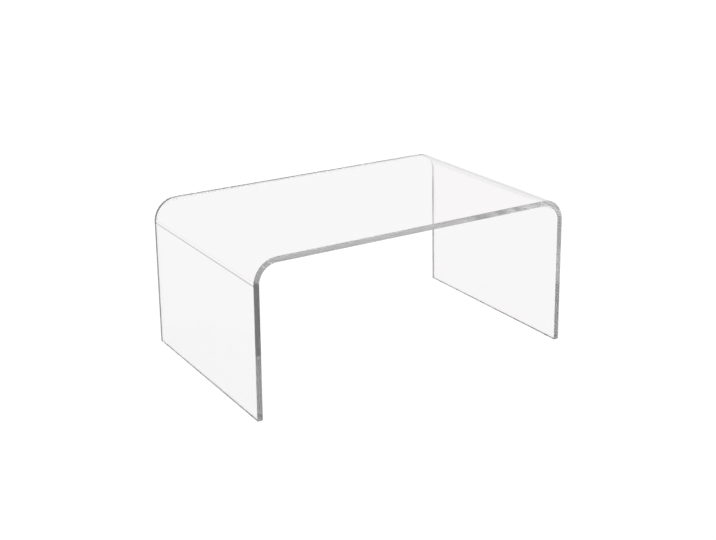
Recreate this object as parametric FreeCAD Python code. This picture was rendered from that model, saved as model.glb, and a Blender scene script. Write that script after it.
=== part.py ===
"""Waterfall coffee table: a clear acrylic sheet heat-bent at both ends, standing on glued floor pads.

Millimetres, +Z up, +X along the length, the front edge towards -Y. The origin is on the floor under the
middle of the table top.
"""

import FreeCAD, Part
import math
import os

# Overall sizes: the length is taken over the feet, and the height includes the floor pads
table_length = 926.0
table_depth = 585.0
table_height = 408.0

# The sheet: its thickness, the former that it is bent round, how far a leg stands open of square once the bend
# has sprung back, and the round on its polished edges
sheet_thickness = 15.0
inside_bend_radius = 48.0
leg_splay_degrees = 0.9
edge_round = 1.5

# The floor pads: discs stuck under the leg edges, drawn in towards the floor
pad_thickness = 2.0
pad_side_margin = 1.0
pad_end_inset = 40.0
pad_draw_in = 0.6
pad_lip_round = 0.4

# Where a bend starts and ends, as angles up from level about its centre
leg_end_of_bend = math.radians(leg_splay_degrees)
top_end_of_bend = math.radians(90)
middle_of_bend = (leg_end_of_bend + top_end_of_bend) / 2

# Places that follow from the sizes above
outside_bend_radius = inside_bend_radius + sheet_thickness
half_length = table_length / 2
half_depth = table_depth / 2
bend_centre_z = table_height - outside_bend_radius
leg_foot_z = pad_thickness
pad_top_radius = sheet_thickness / 2 - edge_round - pad_side_margin
pad_floor_radius = pad_top_radius - pad_draw_in


def foot_reach(bend_radius):
    """How far out from the bend's centre one face of the leg comes down to its foot."""
    leg_top_reach = bend_radius * math.cos(leg_end_of_bend)
    leg_drop = bend_centre_z + bend_radius * math.sin(leg_end_of_bend) - leg_foot_z
    return leg_top_reach + leg_drop * math.tan(leg_end_of_bend)


bend_centre_x = half_length - foot_reach(outside_bend_radius)
foot_middle_x = half_length - (foot_reach(outside_bend_radius) - foot_reach(inside_bend_radius)) / 2


def point(x, z):
    """A point of the sheet's section, drawn on the front face."""
    return FreeCAD.Vector(x, -half_depth, z)


def bend_point(bend_radius, angle):
    """A point of the right-hand bend, at an angle up from level."""
    x = bend_centre_x + bend_radius * math.cos(angle)
    z = bend_centre_z + bend_radius * math.sin(angle)
    return point(x, z)


def face_line(bend_radius):
    """One face of the sheet seen from the front: up the left leg, over the top and down the right leg."""
    foot = point(bend_centre_x + foot_reach(bend_radius), leg_foot_z)
    leg_top = bend_point(bend_radius, leg_end_of_bend)
    bend_middle = bend_point(bend_radius, middle_of_bend)
    top_end = bend_point(bend_radius, top_end_of_bend)
    left_foot, left_leg_top, left_bend_middle, left_top_end = [
        point(-right.x, right.z) for right in (foot, leg_top, bend_middle, top_end)
    ]
    return [
        Part.LineSegment(left_foot, left_leg_top),
        Part.Arc(left_leg_top, left_bend_middle, left_top_end),
        Part.LineSegment(left_top_end, top_end),
        Part.Arc(top_end, bend_middle, leg_top),
        Part.LineSegment(leg_top, foot),
    ]


def is_cut_edge(edge):
    """True for the corners left by the saw: all round the front and rear edges, and along the feet."""
    box = edge.BoundBox
    across_depth = box.YLength > sheet_thickness
    at_foot = box.ZMax < leg_foot_z + edge_round
    return at_foot or not across_depth


def waterfall_sheet():
    """Top, both bends and both legs as the continuous sheet that they are, with every cut corner eased."""
    outside = face_line(outside_bend_radius)
    inside = face_line(inside_bend_radius)
    feet = [
        Part.LineSegment(outside[0].StartPoint, inside[0].StartPoint),
        Part.LineSegment(outside[-1].EndPoint, inside[-1].EndPoint),
    ]
    edges = [curve.toShape() for curve in outside + inside + feet]
    section = Part.Face(Part.Wire(Part.__sortEdges__(edges)))
    sheet = section.extrude(FreeCAD.Vector(0, table_depth, 0))
    return sheet.makeFillet(edge_round, [edge for edge in sheet.Edges if is_cut_edge(edge)])


def floor_pad(x, y):
    """A soft disc turned about its own axis, wide where it is stuck to the leg and lipped at the floor."""
    outline = Part.makePolygon(
        [
            FreeCAD.Vector(0, 0, 0),
            FreeCAD.Vector(pad_floor_radius, 0, 0),
            FreeCAD.Vector(pad_top_radius, 0, pad_thickness),
            FreeCAD.Vector(0, 0, pad_thickness),
            FreeCAD.Vector(0, 0, 0),
        ]
    )
    disc = Part.Face(outline).revolve(FreeCAD.Vector(0, 0, 0), FreeCAD.Vector(0, 0, 1), 360)
    lip = [edge for edge in disc.Edges if edge.BoundBox.ZMax < pad_lip_round]
    pad = disc.makeFillet(pad_lip_round, lip)
    pad.translate(FreeCAD.Vector(x, y, 0))
    return pad


def export(name, shape):
    """Writes one piece as a closed solid in its own file."""
    if not shape.isValid() or len(shape.Solids) != 1:
        raise ValueError(name + " is not a single sound solid")
    shape.Solids[0].exportStep(os.path.join("parts", name + ".step"))
    print(name, "volume", round(shape.Volume), "cubic mm")


os.makedirs("parts", exist_ok=True)
export("waterfall_sheet", waterfall_sheet())
pad_y = half_depth - pad_end_inset
for end_name, end in (("front", -1), ("rear", 1)):
    for side_name, side in (("left", -1), ("right", 1)):
        export("floor_pad_" + end_name + "_" + side_name, floor_pad(side * foot_middle_x, end * pad_y))
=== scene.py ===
import math

import bpy
from mathutils import Matrix, Vector


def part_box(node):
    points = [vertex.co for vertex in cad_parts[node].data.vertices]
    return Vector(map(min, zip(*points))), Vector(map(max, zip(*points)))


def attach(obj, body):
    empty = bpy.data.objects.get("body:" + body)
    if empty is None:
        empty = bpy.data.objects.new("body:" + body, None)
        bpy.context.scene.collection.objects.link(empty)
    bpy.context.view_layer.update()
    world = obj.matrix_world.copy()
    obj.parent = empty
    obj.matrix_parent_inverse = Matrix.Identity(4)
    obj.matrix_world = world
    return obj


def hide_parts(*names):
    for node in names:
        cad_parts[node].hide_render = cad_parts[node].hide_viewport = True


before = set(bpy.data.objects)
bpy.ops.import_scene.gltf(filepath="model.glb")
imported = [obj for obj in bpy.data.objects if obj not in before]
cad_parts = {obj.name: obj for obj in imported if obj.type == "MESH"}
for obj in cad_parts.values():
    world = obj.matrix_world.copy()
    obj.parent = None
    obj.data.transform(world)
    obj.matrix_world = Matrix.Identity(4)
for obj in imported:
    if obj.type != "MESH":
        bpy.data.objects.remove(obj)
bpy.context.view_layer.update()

# The bent sheet: clear cast acrylic, sawn to size, with its cut edges eased and polished.
# It is softened along two lines and folded over a former, so the top, both bends and both legs are one piece.
# It stands by its own stiffness, and nothing is fixed to it but the pads under its feet.
sheet_low, sheet_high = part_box("waterfall_sheet")
half_length, half_depth, top_height = sheet_high
foot_height = sheet_low[2]
sheet_thickness = 0.015
inside_bend_radius = 0.048
leg_splay = math.radians(0.9)
edge_round = 0.0015
edge_round_steps = 5
bend_steps = 48
fold_corners = 4
sharp_corner = math.radians(40)
facing_share = 0.5
weld_distance = 1e-6

outside_bend_radius = inside_bend_radius + sheet_thickness
bend_centre_height = top_height - outside_bend_radius
leg_lean = (bend_centre_height - foot_height) * math.tan(leg_splay)
bend_centre_reach = half_length - leg_lean - outside_bend_radius / math.cos(leg_splay)
bend_start_height = bend_centre_height + outside_bend_radius * math.sin(leg_splay)


class Wire:
    """An output of a node that takes part in sums: each operator adds a Math node to the wire's own tree."""

    def __init__(self, socket):
        self.socket = socket
        self.tree = socket.id_data

    @staticmethod
    def node(tree, kind, settings=None, sockets=None, output=0):
        """Adds a node, makes its settings, gives its sockets values or links, and returns an output of it."""
        made = tree.nodes.new(kind)
        for name, value in (settings or {}).items():
            setattr(made, name, value)
        for key, value in (sockets or {}).items():
            if isinstance(value, Wire):
                tree.links.new(value.socket, made.inputs[key])
            else:
                made.inputs[key].default_value = value
        return Wire(made.outputs[output]) if made.outputs else None

    def math(self, operation, other=0.0):
        return Wire.node(self.tree, "ShaderNodeMath", {"operation": operation}, {0: self, 1: other})

    def __add__(self, other):
        return self.math("ADD", other)

    def __sub__(self, other):
        return self.math("SUBTRACT", other)

    def __rsub__(self, other):
        return self * -1.0 + other

    def __mul__(self, other):
        return self.math("MULTIPLY", other)

    def __truediv__(self, other):
        return self.math("DIVIDE", other)

    def __gt__(self, other):
        return self.math("GREATER_THAN", other)

    def __lt__(self, other):
        return self.math("LESS_THAN", other)

    def __abs__(self):
        return self.math("ABSOLUTE")

    __radd__ = __add__
    __rmul__ = __mul__


def at_least(wire, lowest):
    """The wire's value, or the lowest one where it falls short of that."""
    return wire.math("MAXIMUM", lowest)


def mixed(share, colour_a, colour_b):
    """A colour that goes from one to the other as share goes from 0 to 1."""
    sockets = {0: share, 6: colour_a, 7: colour_b}
    return Wire.node(share.tree, "ShaderNodeMix", {"data_type": "RGBA"}, sockets, output=2)


def ramped(wire, low, high):
    """0 where the wire is at low, 1 where it is at high, and eased between them."""
    settings = {"interpolation_type": "SMOOTHSTEP"}
    return Wire.node(wire.tree, "ShaderNodeMapRange", settings, {0: wire, 1: low, 2: high})


def parts_of(vector):
    """The three parts of a vector."""
    first_part = Wire.node(vector.tree, "ShaderNodeSeparateXYZ", {}, {0: vector})
    return [Wire(part) for part in first_part.socket.node.outputs]


def joined(x, y, z):
    """A vector from its three parts."""
    return Wire.node(x.tree, "ShaderNodeCombineXYZ", {}, {"X": x, "Y": y, "Z": z})


def length_of(*parts):
    """The length of a vector, from its parts."""
    return sum(part * part for part in parts).math("SQRT")


def noise(place, waves_per_metre, detail=2.0):
    """Noise from 0 to 1 over a place, with its own number of waves to the metre along each part."""
    scaled = joined(*[part * waves for part, waves in zip(place, waves_per_metre)])
    sockets = {"Vector": scaled, "Scale": 1.0, "Detail": detail}
    return Wire.node(scaled.tree, "ShaderNodeTexNoise", {}, sockets)


acrylic_ior = 1.49


def clear_plastic(name, clearness):
    """A new material of clear plastic. Returns it with the three parts of the place on its piece."""
    material = bpy.data.materials.new(name)
    material.use_nodes = True
    tree = material.node_tree
    shader = tree.nodes["Principled BSDF"]
    shader.inputs["IOR"].default_value = acrylic_ior
    shader.inputs["Transmission Weight"].default_value = clearness
    return material, parts_of(Wire.node(tree, "ShaderNodeTexCoord", output="Object"))


def finished(material, tint, roughness, height, depth):
    """The material, with its tint and roughness given and a bump that is as deep as said."""
    tree = material.node_tree
    normal = Wire.node(tree, "ShaderNodeBump", {}, {"Height": height, "Distance": depth})
    for name, wire in (("Base Color", tint), ("Roughness", roughness), ("Normal", normal)):
        tree.links.new(wire.socket, tree.nodes["Principled BSDF"].inputs[name])
    return material


face_tint = (0.998, 0.984, 0.991, 1.0)
wiped_tint = (0.993, 0.979, 0.986, 1.0)
wipes_per_metre = (9.0, 60.0, 9.0)
wipe_ramp = (0.55, 0.8)
wipe_roughness = 0.01
# The pressed line's dark grey is painted shade along the groove; its roughness and bump are the groove
# itself.
mark_painted_shade_tint = (0.34, 0.335, 0.337, 1.0)
mark_ramp = (0.003, 0.00075)
mark_roughness = 0.15
mark_depth = 0.00005


def clear_face():
    """The cast faces: nearly colourless, with faint wipe marks.
    A line is pressed into the outside of the left leg where its bend starts, and its dark grey tint is
    painted shade in that groove."""
    material, (x, y, z) = clear_plastic("clear_acrylic", 1.0)
    wiped = ramped(noise((x, y, z), wipes_per_metre), *wipe_ramp)
    outside_left_leg = x < sheet_thickness / 2 - half_length
    groove_with_painted_shade = ramped(abs(z - bend_start_height), *mark_ramp) * outside_left_leg
    tint = mixed(groove_with_painted_shade, mixed(wiped, face_tint, wiped_tint), mark_painted_shade_tint)
    roughness = wiped * wipe_roughness + groove_with_painted_shade * mark_roughness
    return finished(material, tint, roughness, 1 - groove_with_painted_shade, mark_depth)


# The edges are painted grey, as painted shade, and only part of their surface lets light through, so they
# look grey from every side.
edge_clearness = 0.76
edge_painted_shade_tint = (0.53, 0.53, 0.53, 1.0)
streak_painted_shade_tint = (0.47, 0.47, 0.47, 1.0)
streaks_per_metre = (900.0, 6.0, 6.0)
streak_ramp = (0.3, 0.7)
edge_roughness = 0.03
streak_roughness = 0.05
streak_depth = 0.00002


def polished_edge_painted_shade():
    """The front and rear edges: sawn, then drawn along a polishing wheel, which leaves fine streaks.
    Their grey tint is painted shade. It stands in for the grey that the clear edges show from light the sheet
    carries inside itself, and the streaks darken it a little more at random.
    The streaks run along the edge, so they are laid out by how far a point is from the middle of the bend."""
    material, (x, y, z) = clear_plastic("polished_edge_painted_shade", edge_clearness)
    lean = at_least(bend_centre_height - z, 0.0) * math.tan(leg_splay)
    out = at_least(abs(x) - lean - bend_centre_reach, 0.0)
    up = at_least(z - bend_centre_height, 0.0)
    across = length_of(out, up)
    streak = ramped(noise((across, x, z), streaks_per_metre), *streak_ramp)
    tint = mixed(streak, edge_painted_shade_tint, streak_painted_shade_tint)
    return finished(material, tint, edge_roughness + streak * streak_roughness, streak, streak_depth)


# The feet's grey tint is painted shade that sets how dark the lower ends of the legs look.
foot_clearness = 0.2
foot_painted_shade_tint = (0.44, 0.44, 0.44, 1.0)
saw_mark_painted_shade_tint = (0.36, 0.36, 0.36, 1.0)
saw_marks_per_metre = (40.0, 1500.0, 40.0)
foot_roughness = 0.35
saw_roughness = 0.2
saw_depth = 0.00005


def sawn_foot_painted_shade():
    """The feet: left as the saw cut them, with fine marks across, because nobody sees them.
    Their grey is painted shade, set to darken the lower ends of the legs, which the feet light from inside;
    the saw marks darken it further.
    """
    material, place = clear_plastic("sawn_foot_painted_shade", foot_clearness)
    cut = noise(place, saw_marks_per_metre)
    tint = mixed(cut, foot_painted_shade_tint, saw_mark_painted_shade_tint)
    return finished(material, tint, foot_roughness + cut * saw_roughness, cut, saw_depth)


def new_tree(name, sizes):
    """An empty node tree with a named input for each size. Returns it with its inputs."""
    tree = bpy.data.node_groups.new(name, "GeometryNodeTree")
    for label in sizes:
        tree.interface.new_socket(label, in_out="INPUT", socket_type="NodeSocketFloat")
    tree.interface.new_socket("Geometry", in_out="OUTPUT", socket_type="NodeSocketGeometry")
    given = Wire.node(tree, "NodeGroupInput").socket.node.outputs
    return tree, {label: Wire(given[label]) for label in sizes}


def end_tree(tree, shape, material, finishes=()):
    """Ends a tree: instances become real meshes, which take the material, and chosen faces another finish."""
    dressed = Wire.node(tree, "GeometryNodeRealizeInstances", {}, {0: shape})
    for chosen, finish in [(True, material), *finishes]:
        sockets = {"Geometry": dressed, "Selection": chosen, "Material": finish}
        dressed = Wire.node(tree, "GeometryNodeSetMaterial", {}, sockets)
    Wire.node(tree, "NodeGroupOutput", {}, {0: dressed})


def grown(name, tree, sizes, modifier_finish=None):
    """An object with the plain mesh that the tree, and then the finish's modifiers, give for these sizes."""
    piece = bpy.data.objects.new(name, bpy.data.meshes.new(name))
    bpy.context.scene.collection.objects.link(piece)
    shape = piece.modifiers.new("shape", "NODES")
    shape.node_group = tree
    for item in tree.interface.items_tree:
        if item.in_out == "INPUT":
            shape[item.identifier] = sizes[item.name]
    if modifier_finish:
        modifier_finish(piece)
    mesh = bpy.data.meshes.new_from_object(piece.evaluated_get(bpy.context.evaluated_depsgraph_get()))
    piece.modifiers.clear()
    piece.data = mesh
    mesh.shade_smooth()
    return piece


def bent_sheet_tree(sizes):
    """A rectangle, as deep as the table, swept along the middle of the sheet: up a leg, across and down."""
    tree, size = new_tree("bent sheet", sizes)
    thickness, foot, splay = size["Thickness"], size["Foot height"], size["Leg splay"]

    # The fold: four corners in a row, two at the feet and two where the bends go
    past_middle = Wire.node(tree, "GeometryNodeInputIndex") - (fold_corners - 1) / 2
    at_bend = abs(past_middle) < 1.0
    rise = (size["Top height"] - thickness / 2 - foot) * at_bend
    reach = size["Half length"] - thickness / 2 / splay.math("COSINE") - rise * splay.math("TANGENT")
    corner = joined(past_middle.math("SIGN") * reach, 0.0, foot + rise)
    row = Wire.node(tree, "GeometryNodeMeshLine", {}, {"Count": fold_corners})
    fold = Wire.node(tree, "GeometryNodeSetPosition", {}, {"Geometry": row, "Position": corner})
    path = Wire.node(tree, "GeometryNodeMeshToCurve", {}, {0: fold})

    # The bends, then the sheet itself, whose section keeps its long side level all the way
    middle_radius = size["Inside bend radius"] + thickness / 2
    bends = {"Curve": path, "Count": bend_steps, "Radius": middle_radius}
    bent = Wire.node(tree, "GeometryNodeFilletCurve", {"mode": "POLY"}, bends)
    upright = {"Curve": bent, "Normal": (0.0, 1.0, 0.0)}
    turned = Wire.node(tree, "GeometryNodeSetCurveNormal", {"mode": "FREE"}, upright)
    outline = {"Width": size["Half depth"] * 2, "Height": thickness}
    section = Wire.node(tree, "GeometryNodeCurvePrimitiveQuadrilateral", {}, outline)
    sweep = {"Curve": turned, "Profile Curve": section, "Fill Caps": True}
    sheet = Wire.node(tree, "GeometryNodeCurveToMesh", {}, sweep)

    # The feet are cut level with the floor
    x, y, z = parts_of(Wire.node(tree, "GeometryNodeInputPosition"))
    cut = {"Geometry": sheet, "Selection": z < foot + thickness, "Position": joined(x, y, foot)}
    sawn = Wire.node(tree, "GeometryNodeSetPosition", {}, cut)
    closed = Wire.node(tree, "GeometryNodeMergeByDistance", {}, {"Geometry": sawn, "Distance": weld_distance})

    # The finishes: polished where the sheet was cut at the front and rear, sawn under the feet, both with
    # painted grey shade
    facing_x, facing_y, facing_z = parts_of(Wire.node(tree, "GeometryNodeInputNormal"))
    front_or_rear = abs(facing_y) > facing_share
    under_foot = (z < foot + thickness / 2) * (facing_z < -facing_share)
    end_tree(tree, closed, clear_face(), [(front_or_rear, polished_edge_painted_shade()), (under_foot, sawn_foot_painted_shade())])
    return tree


polished_slot = 1


def eased_corners(piece):
    """Rounds the corners that the saw left, and polishes the rounds as the edges are, with the same painted
    grey shade.
    """
    bevel = piece.modifiers.new("eased corners", "BEVEL")
    bevel.width = edge_round
    bevel.segments = edge_round_steps
    bevel.limit_method = "ANGLE"
    bevel.angle_limit = sharp_corner
    bevel.harden_normals = True
    bevel.material = polished_slot


sheet_sizes = {
    "Half length": half_length,
    "Half depth": half_depth,
    "Top height": top_height,
    "Foot height": foot_height,
    "Thickness": sheet_thickness,
    "Inside bend radius": inside_bend_radius,
    "Leg splay": leg_splay,
}
sheet = grown("bent_sheet", bent_sheet_tree(sheet_sizes), sheet_sizes, eased_corners)
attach(sheet, "root")
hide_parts("waterfall_sheet")

# The floor pads: clear soft discs stuck under the feet, so that the sawn edge doesn't stand on the floor.
# Each is moulded, drawn in a little towards the floor and rounded at its lip, and held by its own glue.
pad_low, pad_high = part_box("floor_pad_front_left")
pad_steps = 8
pad_sides = 48
pad_lip = 0.0004
pad_draw_in = 0.0006
pad_clearness = 0.9
pad_tint = (0.93, 0.94, 0.935, 1.0)
cloud_tint = (0.86, 0.875, 0.87, 1.0)
clouds_per_metre = (700.0, 700.0, 700.0)
cloud_ramp = (0.35, 0.7)
grains_per_metre = (9000.0, 9000.0, 9000.0)
grain_depth = 0.00001
pad_roughness = 0.12
cloud_roughness = 0.15


def soft_pad():
    """Clear polyurethane, a little cloudy inside and with the fine grain of its mould on the outside."""
    material, place = clear_plastic("clear_pad", pad_clearness)
    cloud = noise(place, clouds_per_metre)
    grain = noise(place, grains_per_metre, detail=1.0)
    tint = mixed(ramped(cloud, *cloud_ramp), pad_tint, cloud_tint)
    return finished(material, tint, pad_roughness + cloud * cloud_roughness, grain, grain_depth)


def floor_pad_tree(sizes):
    """A disc whose rings follow its taper and its lip, set at the four corners of a grid."""
    tree, size = new_tree("floor pads", sizes)

    # A drum from -1 to 1 gives the rings, which lie closest together at the floor
    rings = {"Vertices": pad_sides, "Side Segments": pad_steps, "Radius": 1.0, "Depth": 2.0}
    drum = Wire.node(tree, "GeometryNodeMeshCylinder", {}, rings, output="Mesh")
    x, y, z = parts_of(Wire.node(tree, "GeometryNodeInputPosition"))
    share = (z + 1.0) / 2
    height = share * share * size["Thickness"]
    into_lip = at_least(1 - height / size["Lip"], 0.0)
    lip_loss = 1 - (1 - into_lip * into_lip).math("SQRT")
    taper = size["Draw in"] * (1 - height / size["Thickness"])
    radius = size["Radius"] - taper - size["Lip"] * lip_loss
    ring = joined(x * radius, y * radius, height)
    pad = Wire.node(tree, "GeometryNodeSetPosition", {}, {"Geometry": drum, "Position": ring})

    spacing = {"Size X": size["Reach X"] * 2, "Size Y": size["Reach Y"] * 2, "Vertices X": 2, "Vertices Y": 2}
    corners = Wire.node(tree, "GeometryNodeMeshGrid", {}, spacing, output="Mesh")
    four = Wire.node(tree, "GeometryNodeInstanceOnPoints", {}, {"Points": corners, "Instance": pad})
    end_tree(tree, four, soft_pad())
    return tree


pad_sizes = {
    "Radius": (pad_high[0] - pad_low[0]) / 2,
    "Thickness": pad_high[2] - pad_low[2],
    "Draw in": pad_draw_in,
    "Lip": pad_lip,
    "Reach X": -(pad_high[0] + pad_low[0]) / 2,
    "Reach Y": -(pad_high[1] + pad_low[1]) / 2,
}
pads = grown("floor_pads", floor_pad_tree(pad_sizes), pad_sizes)
pads.data.set_sharp_from_angle(angle=sharp_corner)
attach(pads, "root")
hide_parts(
    "floor_pad_front_left", "floor_pad_front_right", "floor_pad_rear_left", "floor_pad_rear_right"
)

# The studio: an endless white floor that glows a little, under an even white sky.
# A clear sheet shows what stands round it, so dark flags and bright cards draw its cut edges.
# They show only in light that the sheet has turned inside itself, so its faces and the picture stay white.
backdrop = 1.06
studio_white = 0.943
got_inside = 0.5
few_turns = 0.5
many_turns = 2.5


def between(low, high, share):
    """A level that goes from low to high as share goes from 0 to 1."""
    return low + (high - low) * share


def shown(tree, plain, after_few, after_many):
    """The camera sees the backdrop, and what the table mirrors or lets straight through is plain.
    Light that the sheet has turned inside itself shows another level after a few turns, and after many."""
    seen_straight = Wire.node(tree, "ShaderNodeLightPath", output="Is Camera Ray")
    path = seen_straight.socket.node.outputs
    turns = Wire(path["Glossy Depth"]) * (Wire(path["Transmission Depth"]) > got_inside)
    level = between(plain, backdrop, seen_straight)
    level = between(level, after_few, turns > few_turns)
    return between(level, after_many, turns > many_turns)


back_grey = 0.74
back_floor_x = (1.5, 2.1)
back_floor_slant = (-0.52, -0.42)


def plain_floor(x, y):
    """White, but grey far off to the right and behind, which shades the right bend."""
    far_corner = ramped(x, *back_floor_x) * ramped(y - x, *back_floor_slant)
    return between(studio_white, back_grey, far_corner)


beside_grey = 0.36
beside_x = (0.0, 0.5)
beside_y = (-0.35, -0.1)
middle_slant = 2.6
middle_start = (-0.5, -0.3)
sharp_border = 0.01
soft_border = 0.1
softest_border = 0.15
middle_x = (half_length, half_length - sharp_border)
middle_y = (-half_depth - soft_border, -half_depth)
behind_y = (half_depth, half_depth + softest_border)
left_x = (-half_length + sheet_thickness, -half_length)
far_right_x = (1.15, 1.4)
far_right_y = (-0.8, -0.5)
far_front_slant = 0.75
far_front_start = (0.5, 0.6)
far_front_y = (-0.55, -0.7)


def floor_after_few(x, y, plain):
    """Black flags lie before the table and just inside its left leg, and a grey one beyond its right leg.
    The floor is plain between the legs, behind the table, to its left, and far off right and front right."""
    flag = beside_grey * ramped(x, *beside_x) * ramped(y, *beside_y)
    past_left_leg = ramped(y + x * middle_slant, *middle_start)
    clear = past_left_leg * ramped(x, *middle_x) * ramped(y, *middle_y)
    clear = at_least(clear, ramped(y, *behind_y))
    clear = at_least(clear, ramped(x, *left_x))
    clear = at_least(clear, ramped(x, *far_right_x) * ramped(y, *far_right_y))
    past_flags = ramped(x + y * far_front_slant, *far_front_start)
    clear = at_least(clear, past_flags * ramped(y, *far_front_y))
    return between(flag, plain, clear)


room_grey = 0.69
flag_grey = 0.03
flag_x = (0.05, -0.15)
flag_y = (0.95, 0.8)
card_white = 1.8
card_place = (0.39, 0.53)
card_stretch = 1.6
card_reach = (0.17, 0.07)


def floor_after_many(x, y):
    """A dark flag lies under the table's left half, and a bright oval card off each end of its right leg.
    The rest of the floor is grey."""
    flag = ramped(x, *flag_x) * ramped(abs(y), *flag_y)
    card_x = x - card_place[0]
    card_y = (abs(y) - card_place[1]) / card_stretch
    card = ramped(length_of(card_x, card_y), *card_reach)
    return between(between(room_grey, flag_grey, flag), card_white, card)


floor_reach = 60.0

floor_material = bpy.data.materials.new("studio_floor")
floor_material.use_nodes = True
floor_tree = floor_material.node_tree
floor_tree.nodes.clear()
floor_x, floor_y, floor_z = parts_of(Wire.node(floor_tree, "ShaderNodeTexCoord", output="Object"))
floor_plain = plain_floor(floor_x, floor_y)
floor_few = floor_after_few(floor_x, floor_y, floor_plain)
floor_many = floor_after_many(floor_x, floor_y)
floor_level = shown(floor_tree, floor_plain, floor_few, floor_many)
floor_glow = Wire.node(floor_tree, "ShaderNodeEmission", {}, {"Strength": floor_level})
Wire.node(floor_tree, "ShaderNodeOutputMaterial", {}, {"Surface": floor_glow})

floor_mesh = bpy.data.meshes.new("studio_floor")
floor_corners = [(x * floor_reach, y * floor_reach, 0) for x, y in ((-1, -1), (1, -1), (1, 1), (-1, 1))]
floor_mesh.from_pydata(floor_corners, [], [(0, 1, 2, 3)])
floor_mesh.materials.append(floor_material)
floor = bpy.data.objects.new("studio_floor", floor_mesh)
bpy.context.scene.collection.objects.link(floor)

back_sky_x = (0.52, 0.58)
back_sky_z = (0.28, 0.2)
panel_x = 0.49
panel_width = (0.14, 0.08)
panel_y = (-0.5, -0.7)


def sky_after_few(x, y, z):
    """The sky is grey low down on the right, and a black panel stands in front of the right leg."""
    far_corner = ramped(x, *back_sky_x) * ramped(z, *back_sky_z)
    panel = ramped(abs(x - panel_x), *panel_width) * ramped(y, *panel_y)
    return between(studio_white, back_grey, far_corner) * (1 - panel)


left_sky = 0.7
rear_sky = 1.15
right_sky = 2.0
left_to_rear_x = (-0.3, 0.3)
right_sky_x = (-0.1, 0.3)
right_sky_y = (0.76, 0.72)


def sky_after_many(x, y):
    """The sky is dim on the left, brighter behind the right half of the table and brightest on the right."""
    level = between(left_sky, rear_sky, ramped(x, *left_to_rear_x))
    return between(level, right_sky, ramped(x, *right_sky_x) * ramped(y, *right_sky_y))


sky = bpy.data.worlds.new("studio_sky")
sky.use_nodes = True
sky_tree = sky.node_tree
sky_x, sky_y, sky_z = parts_of(Wire.node(sky_tree, "ShaderNodeTexCoord", output="Generated"))
sky_few = sky_after_few(sky_x, sky_y, sky_z)
sky_many = sky_after_many(sky_x, sky_y)
sky_light = sky_tree.nodes["Background"].inputs
sky_light["Color"].default_value = (1.0, 1.0, 1.0, 1.0)
sky_tree.links.new(shown(sky_tree, studio_white, sky_few, sky_many).socket, sky_light["Strength"])
bpy.context.scene.world = sky

# The camera, fitted to the table's edges in the photograph's frame of 716 by 540 pixels.
# It looks down on the front and left of the table, and its picture is not shifted.
picture_width = 716
focal_length_pixels = 1231.1
sensor_width = 36.0
furthest_seen = 200.0
camera_place = Vector((-1.6187, -2.6761, 1.3432))
camera_yaw = math.radians(31.162)
camera_pitch = math.radians(19.972)
camera_roll = math.radians(-0.769)

ahead = Vector((
    math.sin(camera_yaw) * math.cos(camera_pitch),
    math.cos(camera_yaw) * math.cos(camera_pitch),
    -math.sin(camera_pitch),
))
level_right = Vector((math.cos(camera_yaw), -math.sin(camera_yaw), 0.0))
level_up = level_right.cross(ahead)
right = level_right * math.cos(camera_roll) + level_up * math.sin(camera_roll)
up = level_up * math.cos(camera_roll) - level_right * math.sin(camera_roll)
lens = bpy.data.cameras.new("camera")
lens.sensor_width = sensor_width
lens.lens = focal_length_pixels / picture_width * sensor_width
lens.clip_end = furthest_seen
camera = bpy.data.objects.new("camera", lens)
camera.matrix_world = Matrix.Translation(camera_place) @ Matrix((right, up, -ahead)).transposed().to_4x4()
bpy.context.scene.collection.objects.link(camera)
bpy.context.scene.camera = camera

# Light takes many turns inside the sheet before it leaves, and none of them may be cut short or blurred.
inner_turns = 128
cycles = bpy.context.scene.cycles
cycles.max_bounces = inner_turns
cycles.transmission_bounces = inner_turns
cycles.glossy_bounces = inner_turns
cycles.blur_glossy = 0.0
bpy.context.scene.view_settings.view_transform = "Standard"
